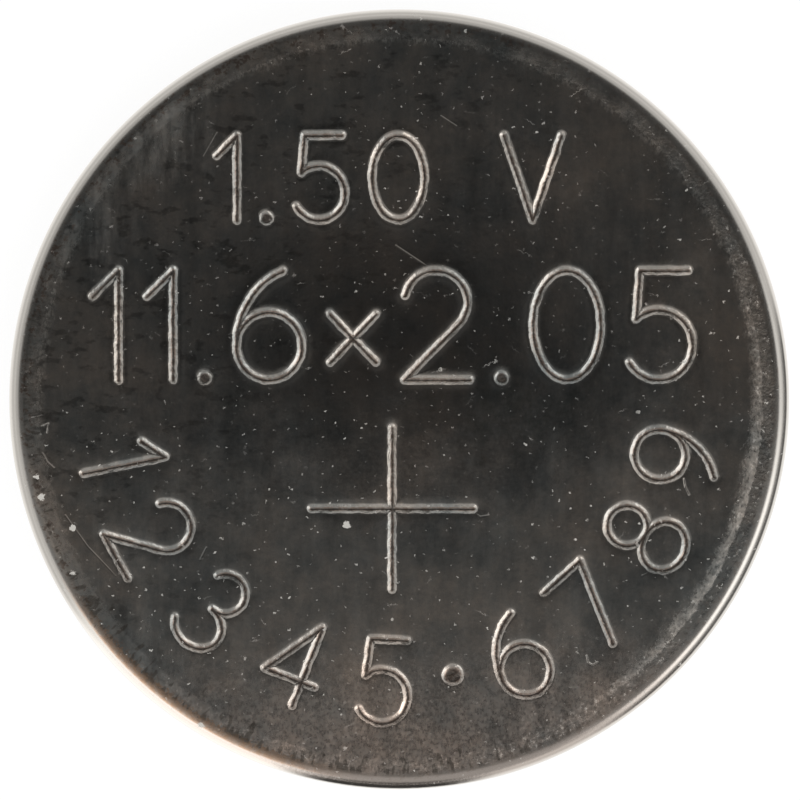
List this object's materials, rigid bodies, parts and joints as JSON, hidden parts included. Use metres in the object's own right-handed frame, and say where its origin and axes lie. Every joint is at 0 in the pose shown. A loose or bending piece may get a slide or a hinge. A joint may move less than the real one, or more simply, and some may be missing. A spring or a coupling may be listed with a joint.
{
  "type": "button cell battery",
  "caption": "Flat round alkaline button cell: a crimped metal can as the positive pole, a nylon gasket and a folded metal cap as the negative pole.",
  "frame": {"origin": "centre of the negative contact face, on which the cell lies", "axes": "+Z along the cell's axis towards the positive face, +Y towards the top of the face as its marks are read, +X to the right of them"},
  "size_m": [0.0116, 0.0116, 0.0021],
  "materials": {
    "can_nickel": "nickel-plated steel, smooth and slightly hazed",
    "cap_nickel": "nickel-faced clad steel, satin",
    "gasket_nylon": "natural nylon with a film of sealant",
    "cathode_mix": "pressed powder, matt",
    "barrier_cellulose": "smooth film, damp",
    "pad_fibre": "felted fibre, damp",
    "zinc_gel": "wet grainy paste"
  },
  "bodies": {
    "root": {"positive_can": "can_nickel", "gasket": "gasket_nylon", "negative_cap": "cap_nickel", "cathode_pellet": "cathode_mix", "barrier_film": "barrier_cellulose", "absorbent_pad": "pad_fibre", "zinc_gel": "zinc_gel"}
  },
  "joints": []
}
